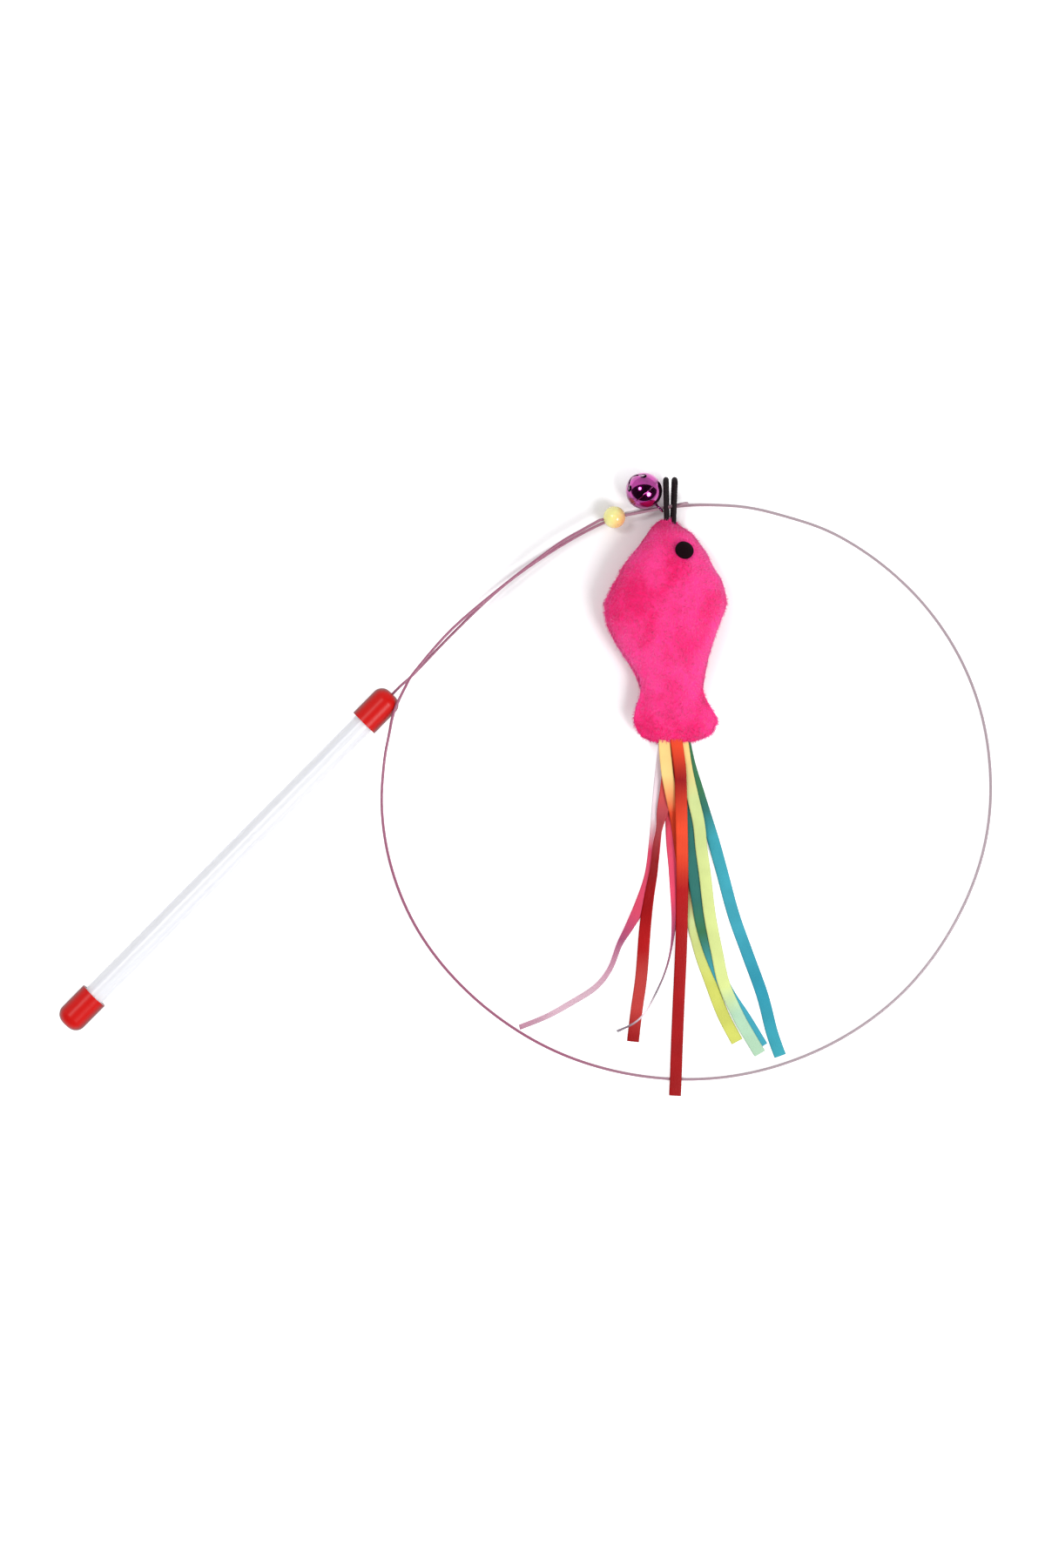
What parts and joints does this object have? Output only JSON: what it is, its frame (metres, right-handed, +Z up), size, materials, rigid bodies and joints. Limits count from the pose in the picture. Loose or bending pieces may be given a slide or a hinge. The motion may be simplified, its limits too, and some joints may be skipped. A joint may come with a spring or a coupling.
{
  "type": "cat teaser wand",
  "caption": "Cat teaser wand: capped plastic tube handle, long coiled spring wire, and a stuffed fish on elastic loops with a bead, a jingle bell and a satin ribbon tail",
  "frame": {"origin": "middle of the footprint of the handle and the toy on the floor, without the wire and the ribbons, at floor height", "axes": "the wand lies on its side on the floor: +Z up, +X from the grip cap towards the fish, +Y from the ribbons towards the nose"},
  "size_m": [0.3887, 0.2597, 0.022],
  "materials": {
    "handle_plastic": "translucent white, smooth",
    "cap_vinyl": "glossy red vinyl",
    "coated_wire": "mauve coated spring steel",
    "bead_plastic": "translucent yellow",
    "bell_metal": "magenta metallic, glossy",
    "ball_steel": "plain steel",
    "elastic_cord": "black braided elastic",
    "pink_plush": "hot pink short plush",
    "eye_felt": "black felt",
    "satin_pink": "satin",
    "satin_red": "satin",
    "satin_teal": "satin",
    "satin_yellow": "satin"
  },
  "bodies": {
    "wand": {"handle_tube": "handle_plastic", "grip_cap": "cap_vinyl", "tip_cap": "cap_vinyl", "wire_plug": "handle_plastic", "spring_wire": "coated_wire", "wire_end": "coated_wire"},
    "toy": {"elastic_loop_left": "elastic_cord", "elastic_loop_right": "elastic_cord", "fish_body": "pink_plush", "fish_tail": "pink_plush", "eye_front": "eye_felt", "eye_back": "eye_felt"},
    "ribbon_tail": {"ribbon_pink_long": "satin_pink", "ribbon_pink_curl": "satin_pink", "ribbon_teal_short": "satin_teal", "ribbon_teal_long": "satin_teal", "ribbon_red_short": "satin_red", "ribbon_yellow_long": "satin_yellow", "ribbon_red_long": "satin_red", "ribbon_yellow_short": "satin_yellow"},
    "bell": {"bell_shank": "bell_metal", "bell_top_shell": "bell_metal", "bell_slotted_shell": "bell_metal"},
    "ball": {"bell_ball": "ball_steel"},
    "bead": {"stop_bead": "bead_plastic"}
  },
  "joints": [
    {"name": "toy_swing", "type": "hinge", "parent": "wand", "child": "toy", "pos_m": [0.1153, 0.102, 0.0064], "axis": [-0.9816, -0.1908, 0], "range_deg": [0, 40]},
    {"name": "ribbon_lift", "type": "hinge", "parent": "toy", "child": "ribbon_tail", "pos_m": [0.1175, 0.0038, 0.0082], "axis": [-1, 0, 0], "range_deg": [0, 45]},
    {"name": "bell_swing", "type": "hinge", "parent": "wand", "child": "bell", "pos_m": [0.11098, 0.10116, 0.0064], "axis": [0.9816, 0.1908, 0], "range_deg": [0, 40]},
    {"name": "ball_hop", "type": "slide", "parent": "bell", "child": "ball", "axis": [0, 0, 1], "range_m": [0, 0.0094]},
    {"name": "bead_slide", "type": "slide", "parent": "wand", "child": "bead", "axis": [0.9816, 0.1908, 0], "range_m": [0, 0.0045]}
  ]
}
